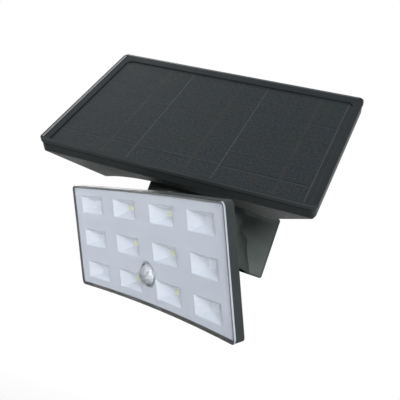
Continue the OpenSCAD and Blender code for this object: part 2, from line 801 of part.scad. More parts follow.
module panel_bezel() color([0.20, 0.23, 0.23]) at_panel() difference() {
    union() {
        intersection() {
            rotate([90, 0, 0]) linear_extrude(panel_d, center = true) rim_section(panel_w / 2);
            rotate([90, 0, 90]) linear_extrude(panel_w, center = true) rim_section(panel_d / 2);
            translate([0, 0, -bezel_h]) linear_extrude(bezel_h)
                round_rect(panel_w, panel_d, panel_corner_r);
        }
        translate([0, 0, floor_bottom]) linear_extrude(bezel_floor_t + eps)
            round_rect(tray_w - 2 * tray_wall - 2 * pocket_gap, tray_d - 2 * tray_wall - 2 * pocket_gap, 1.5);
        at_tray_screws() translate([0, 0, tray_boss_top])
            cylinder(r = tray_boss_r, h = floor_bottom - tray_boss_top + eps);
    }
    translate([0, 0, -solar_recess - solar_t]) linear_extrude(far) pocket_outline(0);
    rim_slopes();
    at_tray_screws() translate([0, 0, tray_boss_top - 1]) cylinder(r = small_pilot, h = tray_screw_len + 1);
}

module panel_gasket() color([0.08, 0.08, 0.08]) at_panel() {
    translate([0, 0, tray_top]) linear_extrude(gasket_t) difference() {
        round_rect(tray_w - 2 * pocket_gap, tray_d - 2 * pocket_gap, tray_corner_r);
        square([tray_w - 2 * tray_wall, tray_d - 2 * tray_wall], center = true);
    }
}

module tray_screws() color([0.55, 0.55, 0.54]) at_panel() at_tray_screws() {
    translate([0, 0, tray_boss_top - tray_wall])
        screw(small_screw_r, tray_wall + tray_screw_len - screw_tip_gap, small_head_r, small_head_h);
}

module cell_area(z, h) {
    translate([cells_x0, cells_y0, z]) cube([cells_x1 - cells_x0, cells_y1 - cells_y0, h]);
}

module solar_laminate() color([0.10, 0.11, 0.12]) at_panel() difference() {
    translate([0, 0, -solar_recess - solar_t]) linear_extrude(solar_t) pocket_outline(pocket_gap);
    cell_area(-solar_recess - cell_t, 1);
}

// Right-hand edge of a column's ribbon, with the columns counted from the right
function column_end(i) = cells_x1 - i * column_pitch;

function column_start(i) = max(cells_x0, column_end(i + 1));

module solar_cells() color([0.13, 0.14, 0.15]) at_panel() {
    for (i = [0:cell_columns - 1], j = [0:cell_rows - 1])
        translate([column_start(i), cells_y0 + j * row_pitch + cell_gap / 2, -solar_recess - cell_t])
            cube([column_end(i) - ribbon_w - column_start(i), row_pitch - cell_gap, cell_t]);
}

module cell_ribbons() color([0.72, 0.76, 0.76]) at_panel() {
    for (i = [0:cell_columns - 1])
        translate([column_end(i) - ribbon_w, cells_y0, -solar_recess - cell_t])
            cube([ribbon_w, cells_y1 - cells_y0, cell_t]);
}

// ---- Power parts ----

module battery_holders() color([0.12, 0.12, 0.12]) at_panel() difference() {
    for (x = [-1, 1])
        translate([x * battery_x, 0, battery_z]) difference() {
            translate([-holder_half_w, -holder_len / 2, -holder_half_w - 10])
                cube([2 * holder_half_w, holder_len, holder_half_w + 10]);
            rotate([90, 0, 0])
                cylinder(r = battery_r + run_fit, h = battery_len + 2 * pocket_gap, center = true);
        }
    arch(arch_r + tray_wall);
    translate([0, 0, battery_z - battery_r - 6 - far]) cube([far, far, 2 * far], center = true);
}

module battery_cells() color([0.25, 0.42, 0.62]) at_panel() {
    for (x = [-1, 1]) translate([x * battery_x, 0, battery_z]) rotate([90, 0, 0]) {
        cylinder(r = battery_r, h = battery_len, center = true);
    }
}

module controller_board() color([0.10, 0.32, 0.20]) at_panel() difference() {
    translate([0, controller_y, controller_z + board_t / 2])
        cube([controller_w, controller_d, board_t], center = true);
    at_board_posts() translate([0, 0, controller_z - 1]) cylinder(r = small_pilot, h = board_t + 2);
}

module controller_parts() color([0.16, 0.16, 0.17]) at_panel()
    translate([0, controller_y, controller_z + board_t]) {
        translate([-1.5 * chip_side, -chip_side, 0]) cube([chip_side, chip_side, chip_h]);
        translate([coil_r, coil_r, 0]) cylinder(r = coil_r, h = coil_h);
        translate([-5 * capacitor_r, 2 * capacitor_r, 0]) cylinder(r = capacitor_r, h = capacitor_h);
        translate([1.5 * plug_w, -1.5 * plug_d, 0]) cube([plug_w, plug_d, plug_h]);
        translate([0, -2 * diode_d, 0]) cube([diode_w, diode_d, diode_h]);
    }

module board_screws() color([0.62, 0.62, 0.60]) at_panel() {
    at_board_posts() translate([0, 0, controller_z + board_t]) rotate([180, 0, 0])
        screw(small_screw_r, board_screw_len, small_head_r, small_head_h);
    at_slope() for (y = [-1, 1]) translate([0, y * switch_post_y, switch_board_z - board_t])
        screw(small_screw_r, board_screw_len, small_head_r, small_head_h);
}

module mode_button() color([0.13, 0.14, 0.14]) at_button() {
    translate([0, 0, button_foot]) cylinder(r = button_r, h = button_proud - button_foot);
    translate([0, 0, button_foot]) cylinder(r = button_flange_r, h = button_flange_t);
}

module button_seal() color([0.07, 0.07, 0.07]) at_button() difference() {
    translate([0, 0, -tray_wall]) cylinder(r = button_flange_r + pocket_gap / 2, h = seal_depth);
    translate([0, 0, -far / 2]) cylinder(r = button_r + run_fit, h = far);
}

module switch_board() color([0.10, 0.32, 0.20]) at_button() difference() {
    translate([-switch_board_half_x, -switch_board_half_y, switch_board_z - board_t])
        cube([2 * switch_board_half_x, 2 * switch_board_half_y, board_t]);
    for (y = [-1, 1]) translate([0, y * switch_post_y, switch_board_z - far / 2])
        cylinder(r = small_pilot, h = far);
}

module tact_switch() color([0.18, 0.18, 0.19]) at_button() difference() {
    translate([-switch_side / 2, -switch_side / 2, switch_board_z])
        cube([switch_side, switch_side, switch_h]);
    translate([0, 0, switch_board_z + 0.5]) cylinder(r = plunger_r + run_fit, h = switch_h);
}

module switch_plunger() color([0.75, 0.30, 0.22]) at_button() {
    translate([0, 0, button_foot - run_fit - plunger_len]) cylinder(r = plunger_r, h = plunger_len);
}

// ---- Head ----

module head_ball_liner() color([0.80, 0.80, 0.76]) at_ball() rotate([-90, 0, 0]) rotate_extrude() {
    difference() {
        intersection() {
            circle(liner_r);
            translate([0, -2 * liner_r]) square([2 * liner_r, 2 * liner_r + socket_grip]);
        }
        circle(ball_r + run_fit);
    }
}

// Slice behind the curved face, between two depths
module face_layer(front, back) {
    intersection() {
        linear_extrude(head_h + 2, center = true) translate([0, -face_r]) difference() {
            circle(face_r + back, $fn = 720);
            circle(face_r + front, $fn = 720);
        }
        translate([0, far / 2 - 20, 0]) cube([head_w + 2, far, head_h + 2], center = true);
    }
}

// Rounded front view, extruded through the head
module head_outline(inset) {
    rotate([90, 0, 0]) linear_extrude(far / 4, center = true)
        round_rect(head_w - 2 * inset, head_h - 2 * inset, max(head_corner_r - inset, 0.8));
}

// Raised middle of the back, set in by the wall thickness for the hollow
module back_form(inset) {
    root_w = back_root_w - inset;
    root_h = back_root_h - inset;
    face_w = back_face_w - inset;
    face_h = back_face_h - inset;
    rear = head_depth - inset;
    intersection() {
        linear_extrude(head_h, center = true)
            polygon([[-root_w, 0], [root_w, 0], [root_w, back_root_y - inset], [face_w, rear],
                [-face_w, rear], [-root_w, back_root_y - inset]]);
        rotate([90, 0, 90]) linear_extrude(head_w, center = true)
            polygon([[0, -root_h], [back_root_y - inset, -root_h], [rear, -face_h], [rear, face_h],
                [back_root_y - inset, root_h], [0, root_h]]);
    }
}

module at_posts() {
    for (x = [-1, 1], z = [-1, 1]) translate([x * post_x, 0, z * post_z]) children();
}

module at_ring_screws() {
    for (i = [0:ring_screws - 1]) rotate([0, 90 + i * 360 / ring_screws, 0])
        translate([ring_screw_at, 0, 0]) children();
}

module head_shell() color([0.23, 0.26, 0.27]) at_head() difference() {
    union() {
        difference() {
            union() {
                intersection() {
                    head_outline(0);
                    face_layer(reflector_front, rim_depth);
                }
                intersection() {
                    back_form(0);
                    face_layer(shell_wall, far / 4);
                }
            }
            intersection() {
                head_outline(land_w);
                face_layer(-1, shoulder);
            }
            intersection() {
                head_outline(rim_wall);
                union() {
                    face_layer(-1, rim_depth - shell_wall);
                    intersection() {
                        back_form(shell_wall);
                        face_layer(-1, far / 4);
                    }
                }
            }
        }
        translate(ball_in_head) {
            rod_y(socket_r, head_depth - ball_to_face - shell_wall, ball_to_face - head_depth + shell_wall);
            rod_y(cup_r, cup_front - ball_to_face, ball_to_face - cup_front);
        }
        for (x = [-1, 1]) translate([x * sensor_rest_x, 0, -dome_drop])
            rod_y(sensor_rest_r, sensor_board_y + board_t, head_depth - sensor_board_y - board_t - 1);
    }
    translate(ball_in_head) {
        sphere(socket_sphere_r);
        at_ring_screws() rod_y(ring_screw_r + run_fit, -ring_screw_len, far / 8);
    }
    at_posts() rod_y(small_pilot, reflector_back, far / 4);
}

module head_lock_ring() color([0.23, 0.26, 0.27]) at_ball() difference() {
    rod_y(socket_r, 0, socket_grip);
    sphere(socket_sphere_r);
    at_ring_screws() {
        rod_y(ring_screw_r + run_fit, -1, far / 8);
        rod_y(ring_head_r + run_fit, socket_grip - ring_head_h, far / 8);
    }
}

module lock_ring_screws() color([0.62, 0.62, 0.60]) at_ball() at_ring_screws() {
    translate([0, socket_grip - ring_head_h, 0]) rotate([90, 0, 0])
        screw(ring_screw_r, ring_screw_len - screw_tip_gap + socket_grip - ring_head_h, ring_head_r,
            ring_head_h - 0.1);
}

module at_dome() translate([0, 0, -dome_drop]) children();

module lens_cover() color([0.85, 0.90, 0.95, 0.35]) at_head() difference() {
    intersection() {
        head_outline(0);
        face_layer(0, cover_t);
    }
    at_dome() rod_y(ring_inner_r, -far / 2, far);
}

module cover_gasket() color([0.10, 0.10, 0.10]) at_head() difference() {
    intersection() {
        head_outline(insert_inset);
        face_layer(reflector_back, shoulder);
    }
    head_outline(insert_inset + cover_gasket_w);
}

// Pyramid of a reflector well, from 1 mm before the plate's front to 1 mm past the well's floor
module well_form(grow) {
    mouth = [well_w / 2 + grow, well_h / 2 + grow];
    foot = well_floor / 2 + grow;
    wide = mouth + [(mouth[0] - foot) / well_depth, (mouth[1] - foot) / well_depth];
    front = reflector_front - 1;
    back = well_bottom + 1;
    intersection() {
        linear_extrude(2 * wide[1], center = true)
            polygon([[-wide[0], front], [wide[0], front], [foot, well_bottom], [foot, back],
                [-foot, back], [-foot, well_bottom]]);
        rotate([90, 0, 90]) linear_extrude(2 * wide[0], center = true)
            polygon([[front, -wide[1]], [well_bottom, -foot], [back, -foot], [back, foot],
                [well_bottom, foot], [front, wide[1]]]);
    }
}

// Well without an LED, cut only down to its closed floor
module blind_well() intersection() {
    well_form(0);
    translate([0, well_bottom - well_wall - far / 2, 0]) cube(far, center = true);
}

// Turns a piece about the centre of the face's curve to a place along the face
module along_face(x) {
    translate([0, -face_r, 0]) rotate([0, 0, -asin(x / face_r)]) translate([0, face_r, 0]) children();
}

module at_wells(columns) {
    for (x = columns, k = well_rows) along_face(x) translate([0, 0, k * well_pitch_z]) children();
}

module reflector_plate() color([0.74, 0.77, 0.82]) at_head() difference() {
    union() {
        intersection() {
            head_outline(insert_inset);
            face_layer(reflector_front, reflector_back);
        }
        at_wells(well_columns) intersection() {
            well_form(well_wall);
            translate([0, (reflector_back + well_bottom - well_root) / 2, 0])
                cube([far, well_bottom - reflector_back + well_root, far], center = true);
        }
        at_posts() rod_y(post_r, reflector_front, head_depth - shell_wall - reflector_front);
    }
    at_wells(led_columns) well_form(0);
    at_wells(blind_columns) blind_well();
    at_posts() rod_y(small_pilot, reflector_back + 1, far / 4);
    at_dome() rod_y(ring_outer_r + run_fit, -far / 2, far);
}

module led_boards() color([0.85, 0.86, 0.86]) at_head() {
    for (x = led_columns) along_face(x) translate([0, well_bottom + board_t / 2, 0])
        cube([led_board_w, board_t, led_board_h], center = true);
}

module led_chips() color([0.90, 0.86, 0.45]) at_head() at_wells(led_columns) {
    translate([0, well_bottom - led_t / 2, 0]) cube([led_size, led_t, led_size], center = true);
}

module pir_lens() color([0.80, 0.82, 0.84]) at_head() at_dome() difference() {
    union() {
        difference() {
            translate([0, dome_centre, 0]) sphere(dome_r);
            translate([0, dome_centre + far / 2, 0]) cube(far, center = true);
        }
        rod_y(dome_r, dome_centre, dome_foot - dome_centre);
        rod_y(dome_flange_r, reflector_back, dome_flange_t);
    }
    translate([0, dome_centre, 0]) sphere(dome_r - dome_wall);
    rod_y(dome_r - dome_wall, dome_centre, far / 8);
}

module pir_ring() color([0.15, 0.16, 0.17]) at_head() at_dome() difference() {
    rod_y(ring_outer_r, ring_front, reflector_back - ring_front);
    rod_y(ring_inner_r, -far / 2, far);
}

module pir_sensor() color([0.70, 0.70, 0.70]) at_head() at_dome() {
    rod_y(can_r, can_front, can_len);
    rod_y(can_r + can_brim, sensor_board_y - can_brim, can_brim);
}

module sensor_board() color([0.10, 0.32, 0.20]) at_head() at_dome() {
    translate([0, sensor_board_y + board_t / 2, 0])
        cube([2 * sensor_board_half_w, board_t, 2 * sensor_board_half_h], center = true);
}

module head_screws() color([0.55, 0.55, 0.54]) at_head() at_posts() {
    translate([0, head_depth, 0]) rotate([90, 0, 0])
        screw(small_screw_r, post_depth + shell_wall, small_head_r, small_head_h);
}

wall_bracket();
head_ball_stud();
head_stud_nut();
turret_yoke();
turret_washer();
turret_screw();
tilt_bolt();
tilt_washers();
tilt_nut();
panel_knuckle();
knuckle_washer();
knuckle_screw();
panel_tray();
panel_bezel();
panel_gasket();
tray_screws();
solar_laminate();
solar_cells();
cell_ribbons();
battery_holders();
battery_cells();
controller_board();
controller_parts();
board_screws();
mode_button();
button_seal();
switch_board();
tact_switch();
switch_plunger();
head_ball_liner();
head_shell();
head_lock_ring();
lock_ring_screws();
lens_cover();
cover_gasket();
reflector_plate();
led_boards();
led_chips();
pir_lens();
pir_ring();
pir_sensor();
sensor_board();
head_screws();
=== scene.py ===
# Solar flood light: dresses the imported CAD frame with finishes, rounded edges and fine detail.
# Metres, in the part's own frame: +Z up, the wall is the plane Y = 0 and the front faces -Y.
import bpy
import bmesh
import json
import math
from mathutils import Matrix, Vector

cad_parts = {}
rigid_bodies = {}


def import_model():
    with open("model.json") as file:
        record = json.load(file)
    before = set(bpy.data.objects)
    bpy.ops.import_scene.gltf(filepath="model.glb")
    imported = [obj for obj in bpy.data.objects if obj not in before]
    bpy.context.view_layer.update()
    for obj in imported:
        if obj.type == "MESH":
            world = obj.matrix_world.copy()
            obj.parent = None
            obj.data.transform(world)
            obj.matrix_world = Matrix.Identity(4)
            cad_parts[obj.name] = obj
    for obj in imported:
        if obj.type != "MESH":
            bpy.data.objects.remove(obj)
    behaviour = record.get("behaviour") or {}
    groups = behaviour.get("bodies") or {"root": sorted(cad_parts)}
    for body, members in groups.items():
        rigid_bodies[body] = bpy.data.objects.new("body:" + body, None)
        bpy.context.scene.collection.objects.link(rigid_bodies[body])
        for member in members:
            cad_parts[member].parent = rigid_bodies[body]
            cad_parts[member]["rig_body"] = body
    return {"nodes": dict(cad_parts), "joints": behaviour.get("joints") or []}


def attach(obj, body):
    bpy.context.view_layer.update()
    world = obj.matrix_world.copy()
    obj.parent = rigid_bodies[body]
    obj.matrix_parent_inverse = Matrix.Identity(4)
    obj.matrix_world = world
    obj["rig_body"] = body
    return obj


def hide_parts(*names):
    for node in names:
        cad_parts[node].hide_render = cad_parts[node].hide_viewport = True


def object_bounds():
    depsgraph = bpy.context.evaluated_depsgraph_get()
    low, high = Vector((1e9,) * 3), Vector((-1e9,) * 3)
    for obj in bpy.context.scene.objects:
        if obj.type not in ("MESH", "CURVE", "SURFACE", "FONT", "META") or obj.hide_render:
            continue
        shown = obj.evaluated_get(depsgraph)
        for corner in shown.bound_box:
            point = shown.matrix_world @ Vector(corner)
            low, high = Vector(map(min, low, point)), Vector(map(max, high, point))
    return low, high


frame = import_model()
CAD_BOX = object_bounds()
NODES = frame["nodes"]
JOINTS = {joint["name"]: joint for joint in frame["joints"]}
MM = 0.001

# Camera: place, direction as turned left from straight at the wall, raised and rolled, and lens
CAMERA_AT = (0.1128, -0.5199, -0.0836)
CAMERA_TURN = 13.77
CAMERA_RAISE = 9.39
CAMERA_ROLL = 19.89
CAMERA_LENS = 55.75

# Poses of the panel box and the head that the joints' axes don't give by themselves
PIN_TO_TOP = 50 * MM
PANEL_TURN = math.radians(2.11)
HEAD_PITCH = math.radians(29.9)
BALL_IN_HEAD = Vector((0, 21.7, 20)) * MM

# Turns between two faces: above SHARP their edge is rounded, below FLAT they are one face. Points
# nearer than WELD are one point. A direction faces along an axis when it reaches FACING on it.
SHARP = math.radians(28)
FLAT = math.radians(0.4)
WELD = 0.002 * MM
FACING = 0.3

# Head: radius of the curved face and depth of the reflector plate's front
FACE_R = 982.5 * MM
PLATE_DEPTH = 1.2 * MM

# Reflector wells: how near to the plate's front a corner counts as on it, how near two points and
# two cuts count as one, the turns at which a mouth's wall leaves the front, the widest rounding of a
# mouth, the turn that stays a crease, how near to a mouth no other upright line runs, and the least
# area and depth below the front of a well's side that gets its own lighter tint of painted light
ON_PLATE = 0.05 * MM
PLATE_MERGE = 0.1 * MM
SAME_CUT = 0.5 * MM
MOUTH_TURNS = (math.radians(15), math.radians(70))
MOUTH_ROUNDING = 1.5 * MM
CREASE = math.radians(13)
MOUTH_CLEAR = 1.8 * MM
WELL_SIDE_AREA = 12 * MM * MM
WELL_SIDE_DEPTH = 0.5 * MM

# Cover: how near two points count as one, thickness of the films of painted highlight and shade on
# its edge and behind it, widths of the dark border of painted shade at its foot and left, and the
# reach of the sensor's hole, whose edge stays clear
COVER_MERGE = 0.02 * MM
EDGE_FILM = 0.1 * MM
BORDER_FILM = 0.05 * MM
BORDER_LOW = 2.3 * MM
BORDER_LEFT = 2.4 * MM
HOLE_REACH = 12 * MM

# The sensor's dome: radius and wall, depth of its middle and foot behind the face, drop below the
# head's middle, and its rings and sides of facets
DOME_R = 7.5 * MM
DOME_WALL = 0.8 * MM
DOME_DEPTH = 2.6 * MM
DOME_FOOT = 3.3 * MM
DOME_DROP = 16.7 * MM
DOME_RINGS = 9
DOME_SIDES = 30

# Solar panel, in millimetres from the middle of the bezel's top face: the cells' level and edges,
# the dull strips, and the seams of each column from back to front. W is a width and T a thickness.
# A seam's number says how plain its painted highlight and shade are; below zero, its pale edge of
# painted highlight is the back one.
CELL_Z = -1.8
CELLS_FRONT = -61.05
CELLS_BACK = 53.35
ROW_PITCH = (CELLS_BACK - CELLS_FRONT) / 7
COLUMN_EDGES = ((-92.2, -32.35), (-32.0, 29.15), (29.5, 90.65))
STRIPS_X = (-51.4, 9.3, 70.7)
STRIP_W = 2.2
STRIP_T = 0.03
SEAM_W = 0.8
SEAM_T = 0.02
SEAMS = ((-1, -1, 2, 1, -1, 3), (1, -1, 2, 1, -1, -3), (-1, 3, 2, 1, -2, 4))

# Beads of painted highlight on the bezel's top: two corners and the rounding of each, from the same
# middle
CRESTS = (("left", (-98.3, -61, -0.1), (-96.5, 60, 0.3), 0.35),
          ("back", (-96, 61.2, -0.1), (96, 62.4, 0.2), 0.25))

# Ends of the part of a noise's range that holds most of it
NOISE_LOW = 0.3
NOISE_HIGH = 0.7

# Colours of the cells, with the tints of their clouds, and of the strips, and how much lighter and
# darker than the cells the edges of a seam are, by how plain it is: the lighter edge is a painted
# highlight, and the darker edge is partly the dark gap between cells and partly painted shade
CELL = (0.028, 0.033, 0.035)
CELL_TINTS = ((0.029, 0.031, 0.032), (0.026, 0.032, 0.033), (0.027, 0.032, 0.037),
              (0.032, 0.032, 0.032))
STRIP_COLOURS = ((0.033, 0.0365, 0.038), (0.034, 0.036, 0.036), (0.0335, 0.036, 0.036))
SEAM_LIGHT_CONTRASTS = {1: 0.1, 2: 0.22, 3: 0.4, 4: 0.55}

# Colours of the reflector plate's face with its wells' right walls, and of the wells' other sides,
# which are lighter copies of the plate's plastic: painted light for how light falls on each side
PLATE_COLOUR = (0.395, 0.42, 0.475)
WELL_SIDE_PAINTED_LIGHT = (("left_walls_painted_light", (0.435, 0.46, 0.505)), ("low_walls_painted_light", (0.47, 0.505, 0.56)),
                ("top_walls_painted_light", (0.68, 0.71, 0.78)), ("well_floors_painted_light", (0.56, 0.59, 0.65)))

# Light from the sky, from straight below to straight above, and the lamps' places and watts
SKY = [(0, (0.05, 0.052, 0.055)), (0.42, (0.08, 0.082, 0.085)), (0.62, (0.12, 0.122, 0.125)),
       (1, (0.20, 0.205, 0.21))]
LAMPS = (("key", (0.5, -1.87, 0.17), 32), ("side", (-0.5, -0.1, 0.45), 1.7),
         ("back", (-0.7, 1.5, 0.5), 12))
LAMPS_AIM = Vector((0, -0.1, 0))
LAMP_SIZE = 0.7

# Floor: its depth below the light, its radius, where it starts and ends fading to white, and its
# colour as it is seen and as it throws light back
FLOOR_DROP = 0.36
FLOOR_R = 4
FLOOR_FADE = (0.35, 1.6)
FLOOR_SEEN = (0.9, 0.9, 0.9, 1)
FLOOR_BOUNCE = (0.16, 0.16, 0.16, 1)


# ---- Places ----

def axes_matrix(x, y, z, origin):
    """The frame with these three axes and this origin."""
    turn = Matrix((x, y, z)).transposed().to_4x4()
    return Matrix.Translation(origin) @ turn


def panel_frame():
    """X right, Y back, Z out of the solar panel, from the middle of the bezel's top face."""
    pin = Vector(JOINTS["panel_tilt"]["pos_m"])
    x = Vector(JOINTS["panel_tilt"]["axis"]).normalized()
    z = Vector(JOINTS["panel_turn"]["axis"]).normalized()
    flat = axes_matrix(x, z.cross(x), z, pin + z * PIN_TO_TOP)
    return flat @ Matrix.Rotation(PANEL_TURN, 4, "Z")


def head_frame():
    """X right, Y into the head, Z up, from the middle of the face."""
    ball = Vector(JOINTS["head_tilt"]["pos_m"])
    x = JOINTS["head_tilt"]["axis"]
    yaw = math.atan2(x[1], x[0])
    turn = Matrix.Rotation(yaw, 4, "Z") @ Matrix.Rotation(HEAD_PITCH, 4, "X")
    return Matrix.Translation(ball) @ turn @ Matrix.Translation(-BALL_IN_HEAD)


PANEL = panel_frame()
HEAD = head_frame()


# ---- Camera and lights ----

def add_camera():
    """The camera, at the place and angle that frame the light from low at the front right."""
    data = bpy.data.cameras.new("camera")
    data.lens = CAMERA_LENS
    data.sensor_width = 36
    data.clip_start = 0.01
    camera = bpy.data.objects.new("camera", data)
    turn = Matrix.Rotation(math.radians(CAMERA_TURN), 4, "Z")
    raised = Matrix.Rotation(math.radians(90 + CAMERA_RAISE), 4, "X")
    rolled = Matrix.Rotation(math.radians(CAMERA_ROLL), 4, "Z")
    camera.matrix_world = Matrix.Translation(CAMERA_AT) @ turn @ raised @ rolled
    bpy.context.scene.collection.objects.link(camera)
    bpy.context.scene.camera = camera
    bpy.context.scene.view_settings.view_transform = "Standard"


def add_lamp(name, at, power):
    """A soft round lamp at a place, aimed at the light."""
    data = bpy.data.lights.new(name, "AREA")
    data.shape = "DISK"
    data.size = LAMP_SIZE
    data.energy = power
    lamp = bpy.data.objects.new(name, data)
    away = Vector(at) - LAMPS_AIM
    lamp.matrix_world = Matrix.Translation(at) @ away.to_track_quat("Z", "Y").to_matrix().to_4x4()
    bpy.context.scene.collection.objects.link(lamp)


def is_seen_ray(nodes, links):
    """1 for rays that show the background itself: from the camera, off gloss or through glass."""
    path = nodes.new("ShaderNodeLightPath")
    seen = path.outputs["Is Camera Ray"]
    for name in ("Is Glossy Ray", "Is Transmission Ray"):
        either = nodes.new("ShaderNodeMath")
        either.operation = "MAXIMUM"
        links.new(seen, either.inputs[0])
        links.new(path.outputs[name], either.inputs[1])
        seen = either.outputs[0]
    return seen


def add_world():
    """White to the eye; its light is strong from above, weaker from the sides and faint from below."""
    world = bpy.data.worlds.new("studio")
    bpy.context.scene.world = world
    world.use_nodes = True
    nodes, links = world.node_tree.nodes, world.node_tree.links
    nodes.clear()
    seen = nodes.new("ShaderNodeBackground")
    seen.inputs["Color"].default_value = (1, 1, 1, 1)
    height = nodes.new("ShaderNodeSeparateXYZ")
    links.new(nodes.new("ShaderNodeTexCoord").outputs["Generated"], height.inputs[0])
    light = nodes.new("ShaderNodeBackground")
    level = spread(nodes, links, height.outputs["Z"], -1, 1, 0, 1)
    links.new(ramp(nodes, links, level, SKY), light.inputs["Color"])
    mix = nodes.new("ShaderNodeMixShader")
    out = nodes.new("ShaderNodeOutputWorld")
    links.new(is_seen_ray(nodes, links), mix.inputs["Fac"])
    links.new(light.outputs[0], mix.inputs[1])
    links.new(seen.outputs[0], mix.inputs[2])
    links.new(mix.outputs[0], out.inputs["Surface"])


# ---- Finishes ----

def new_material(name):
    material = bpy.data.materials.new(name)
    material.use_nodes = True
    nodes, links = material.node_tree.nodes, material.node_tree.links
    return material, nodes, links, nodes["Principled BSDF"]


def coordinates(nodes, links, place=None):
    """Object coordinates, or the same in the frame place for a node that lies in the row frame."""
    coords = nodes.new("ShaderNodeTexCoord").outputs["Object"]
    if place is None:
        return coords
    mapping = nodes.new("ShaderNodeMapping")
    mapping.vector_type = "TEXTURE"
    mapping.inputs["Location"].default_value = place.to_translation()
    mapping.inputs["Rotation"].default_value = place.to_euler()
    links.new(coords, mapping.inputs["Vector"])
    return mapping.outputs["Vector"]


def noise(nodes, links, coords, scale, detail=3, roughness=0.55):
    texture = nodes.new("ShaderNodeTexNoise")
    texture.inputs["Scale"].default_value = scale
    texture.inputs["Detail"].default_value = detail
    texture.inputs["Roughness"].default_value = roughness
    links.new(coords, texture.inputs["Vector"])
    return texture.outputs["Fac"]


def ramp(nodes, links, source, stops):
    """A colour ramp through (place, colour) stops."""
    node = nodes.new("ShaderNodeValToRGB")
    elements = node.color_ramp.elements
    while len(elements) < len(stops):
        elements.new(0.5)
    for element, (place, colour) in zip(elements, stops):
        element.position = place
        element.color = (*colour, 1)
    links.new(source, node.inputs["Fac"])
    return node.outputs["Color"]


def spread(nodes, links, source, low, high, out_low, out_high):
    """The source, with its range from low to high spread over another."""
    node = nodes.new("ShaderNodeMapRange")
    ends = {"From Min": low, "From Max": high, "To Min": out_low, "To Max": out_high}
    for name, value in ends.items():
        node.inputs[name].default_value = value
    links.new(source, node.inputs["Value"])
    return node.outputs["Result"]


def bump(nodes, links, height, strength, distance):
    node = nodes.new("ShaderNodeBump")
    node.inputs["Strength"].default_value = strength
    node.inputs["Distance"].default_value = distance
    links.new(height, node.inputs["Height"])
    return node.outputs["Normal"]


def shade(colour, factor):
    return tuple(c * factor for c in colour)


def moulded(name, colour, roughness, grain=0.25, vary=0.12, specular=0.5, metallic=0.0):
    """Moulded or cast surface: soft mottling, uneven sheen and a fine grain."""
    material, nodes, links, surface = new_material(name)
    coords = coordinates(nodes, links)
    clouds = noise(nodes, links, coords, 45)
    stops = [(NOISE_LOW, shade(colour, 1 - vary)), (NOISE_HIGH, shade(colour, 1 + vary))]
    links.new(ramp(nodes, links, clouds, stops), surface.inputs["Base Color"])
    scuffs = noise(nodes, links, coords, 260, 4, 0.65)
    sheen = spread(nodes, links, scuffs, NOISE_LOW, NOISE_HIGH, roughness * 0.88, roughness * 1.14)
    links.new(sheen, surface.inputs["Roughness"])
    fine = noise(nodes, links, coords, 2600, 2)
    links.new(bump(nodes, links, fine, grain, 0.0001), surface.inputs["Normal"])
    surface.inputs["Specular IOR Level"].default_value = specular
    surface.inputs["Metallic"].default_value = metallic
    return material


def finish(names, material):
    """Gives CAD nodes that are shown as they are their finish."""
    for name in names:
        data = NODES[name].data
        data.materials.clear()
        data.materials.append(material)


# ---- Meshes ----

def mesh_object(name, bm, material, place=None):
    data = bpy.data.meshes.new(name)
    bm.normal_update()
    bm.to_mesh(data)
    bm.free()
    data.materials.append(material)
    piece = bpy.data.objects.new(name, data)
    bpy.context.scene.collection.objects.link(piece)
    if place is not None:
        piece.matrix_world = place
    return piece


def apply_modifiers(piece):
    bpy.context.view_layer.update()
    graph = bpy.context.evaluated_depsgraph_get()
    data = bpy.data.meshes.new_from_object(piece.evaluated_get(graph))
    piece.modifiers.clear()
    piece.data = data


def stand_in(piece, node):
    """The piece rides where the CAD node does and is shown in its place."""
    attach(piece, NODES[node]["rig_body"])
    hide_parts(node)


def trim(piece, body):
    """The piece rides on a body."""
    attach(piece, body)


def cad_copy(node, merge):
    """The node's mesh with its flat faces whole and edges shorter than merge taken out."""
    bm = bmesh.new()
    bm.from_mesh(NODES[node].data)
    bmesh.ops.remove_doubles(bm, verts=bm.verts, dist=WELD)
    bmesh.ops.dissolve_limit(bm, angle_limit=FLAT, verts=bm.verts, edges=bm.edges)
    bmesh.ops.remove_doubles(bm, verts=bm.verts, dist=merge)
    return bm


def smooth_piece(name, bm, material):
    """A smooth-shaded piece whose flat faces keep their own direction up to the roundings."""
    for face in bm.faces:
        face.smooth = True
    piece = mesh_object(name, bm, material)
    normals = piece.modifiers.new("normals", "WEIGHTED_NORMAL")
    normals.keep_sharp = True
    apply_modifiers(piece)
    return piece


def rounded(node, material, radius):
    """A copy of a CAD node with its sharp edges rounded, which stands in its place."""
    bm = cad_copy(node, radius * 0.4)
    bm.normal_update()
    edges = [e for e in bm.edges if e.is_manifold and e.calc_face_angle(0) > SHARP]
    bmesh.ops.bevel(bm, geom=edges, offset=radius, offset_type="OFFSET", segments=3,
                    profile=0.5, affect="EDGES", clamp_overlap=False)
    stand_in(smooth_piece(node + ".rounded", bm, material), node)


# ---- Finishes of the pieces ----

bracket_finish = moulded("bracket_plastic", (0.150, 0.171, 0.163), 0.6, specular=0.0)
housing_finish = moulded("housing_plastic", (0.040, 0.047, 0.048), 0.45, specular=0.16)
bezel_finish = moulded("bezel_plastic", (0.021, 0.026, 0.028), 0.4, grain=0.1, specular=0.06)
# A lighter copy of the bezel plastic for its front faces: a painted highlight.
bezel_front_highlight_finish = moulded("bezel_front_painted_highlight", (0.046, 0.052, 0.054), 0.4, grain=0.1, specular=0.1)
